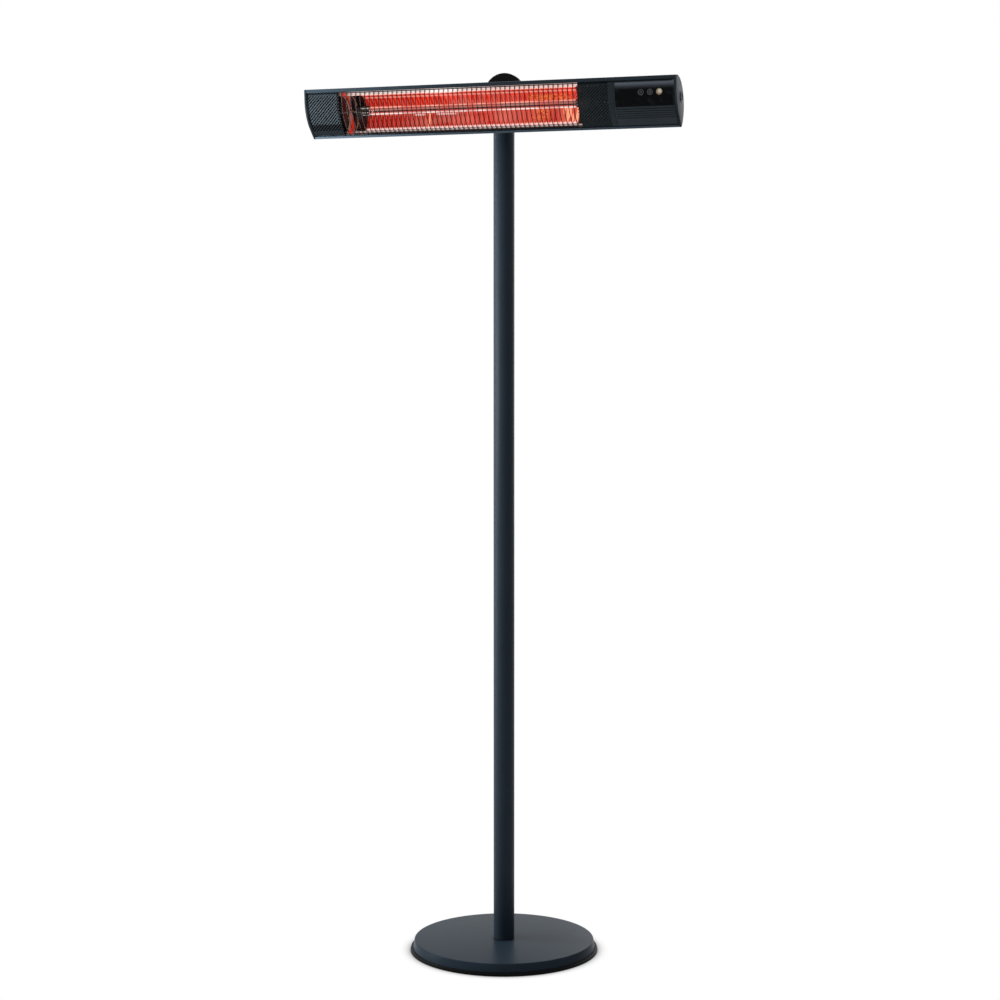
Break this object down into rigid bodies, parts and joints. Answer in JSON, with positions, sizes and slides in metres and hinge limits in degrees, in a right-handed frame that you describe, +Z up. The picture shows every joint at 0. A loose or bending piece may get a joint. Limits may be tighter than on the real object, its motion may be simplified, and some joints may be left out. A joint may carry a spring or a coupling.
{
  "type": "infrared patio heater",
  "caption": "Free-standing infrared patio heater: round weighted base, tall straight pole and a long tilting heater head with a wire-guarded lamp and side controls.",
  "frame": {"origin": "centre of the bounding box on the floor, under the pole's axis", "axes": "+Z up along the pole, +X along the head towards its control end, the heater faces -Y and down"},
  "size_m": [0.902, 0.45, 2.1],
  "materials": {
    "powder_coat": "dark blue-grey powder coat, fine texture, satin",
    "coated_aluminium": "extruded aluminium under a dark grey powder coat",
    "cap_coat": "cast aluminium under a dark grey powder coat",
    "black_coat": "black powder coat, fine texture",
    "black_moulding": "black moulded plastic, fine grain",
    "cover_moulding": "dark grey moulded plastic, satin",
    "control_glass": "black backed glass, glossy",
    "key_metal": "brushed and clear coated",
    "lens_amber": "smoked amber lens",
    "rubber_ring": "black rubber with a lighter worn edge",
    "zinc_steel": "zinc plated",
    "black_steel": "black oxide",
    "cast_weight": "raw casting, dark primer",
    "fibre": "hard fibre washer",
    "seal_rubber": "silicone seal, black",
    "panel_coat": "perforated sheet, dark grey powder coat",
    "guard_coat": "dark heat-tinted stainless wire",
    "mirror_aluminium": "polished aluminium reflector",
    "lamp_glass": "red quartz glass",
    "filament": "carbon strip, glowing",
    "ceramic": "unglazed steatite",
    "sheet_steel": "plain galvanised sheet",
    "lead_sleeve": "silicone sleeve, red brown",
    "board_green": "glass fibre board",
    "switch_black": "black moulded switch",
    "bezel_clear": "milky translucent ring",
    "gland_black": "black polyamide"
  },
  "bodies": {
    "stand": {"base_rim_ring": "rubber_ring", "base_bottom_plate": "sheet_steel", "base_weight": "cast_weight", "base_cover": "powder_coat", "base_screws": "zinc_steel", "base_washer": "zinc_steel", "base_bolt": "zinc_steel", "pole_foot_plug": "zinc_steel", "pole_tube": "powder_coat", "pole_top_plug": "powder_coat", "plug_screws": "black_steel", "mount_plate": "black_coat", "plate_cover": "black_moulding", "cover_screw": "black_steel", "fixed_bracket": "black_coat", "bracket_screws": "zinc_steel", "bracket_nuts": "zinc_steel", "friction_washers": "fibre", "hinge_washers": "zinc_steel", "hinge_bolt": "zinc_steel", "hinge_nut": "zinc_steel"},
    "head": {"tilt_bracket": "black_coat", "hinge_sleeve": "zinc_steel", "rail_bolts": "zinc_steel", "rail_nuts": "zinc_steel", "housing": "coated_aluminium", "end_gaskets": "seal_rubber", "left_end_cap": "cap_coat", "right_end_cap": "cap_coat", "end_cap_screws": "black_steel", "left_mesh_panel": "panel_coat", "right_mesh_panel": "panel_coat", "wire_guard": "guard_coat", "divider_strip": "panel_coat", "reflector": "mirror_aluminium", "reflector_end_plates": "mirror_aluminium", "lamp_tube": "lamp_glass", "lamp_filament": "filament", "lamp_ceramics": "ceramic", "lamp_holders": "ceramic", "lamp_leads": "lead_sleeve", "bay_partition": "sheet_steel", "terminal_block": "ceramic", "control_cover": "cover_moulding", "control_glass": "control_glass", "receiver_lens": "lens_amber", "receiver_module": "switch_black", "circuit_board": "board_green", "board_screws": "zinc_steel", "tact_switches": "switch_black", "relay": "switch_black", "control_leads": "lead_sleeve", "switch_bezel": "bezel_clear", "switch_body": "switch_black", "mains_leads": "lead_sleeve", "cable_gland": "gland_black", "gland_nut": "gland_black"},
    "power_key": {"power_key": "key_metal"},
    "mode_key": {"mode_key": "key_metal"},
    "mains_rocker": {"mains_rocker": "switch_black"}
  },
  "joints": [
    {"name": "head_tilt", "type": "hinge", "parent": "stand", "child": "head", "pos_m": [0, -0.052, 2.038], "axis": [1, 0, 0], "range_deg": [-28, 22]},
    {"name": "power_key_press", "type": "slide", "parent": "head", "child": "power_key", "axis": [0, 0.985, 0.1724], "range_m": [0, 0.0005], "stiffness_N_per_m": 800, "springref_m": -0.0005},
    {"name": "mode_key_press", "type": "slide", "parent": "head", "child": "mode_key", "axis": [0, 0.985, 0.1724], "range_m": [0, 0.0005], "stiffness_N_per_m": 800, "springref_m": -0.0005},
    {"name": "mains_rocker_tilt", "type": "hinge", "parent": "head", "child": "mains_rocker", "pos_m": [0.446, -0.08997, 2.01781], "axis": [0, 0.8829, 0.4695], "range_deg": [0, 18]}
  ]
}
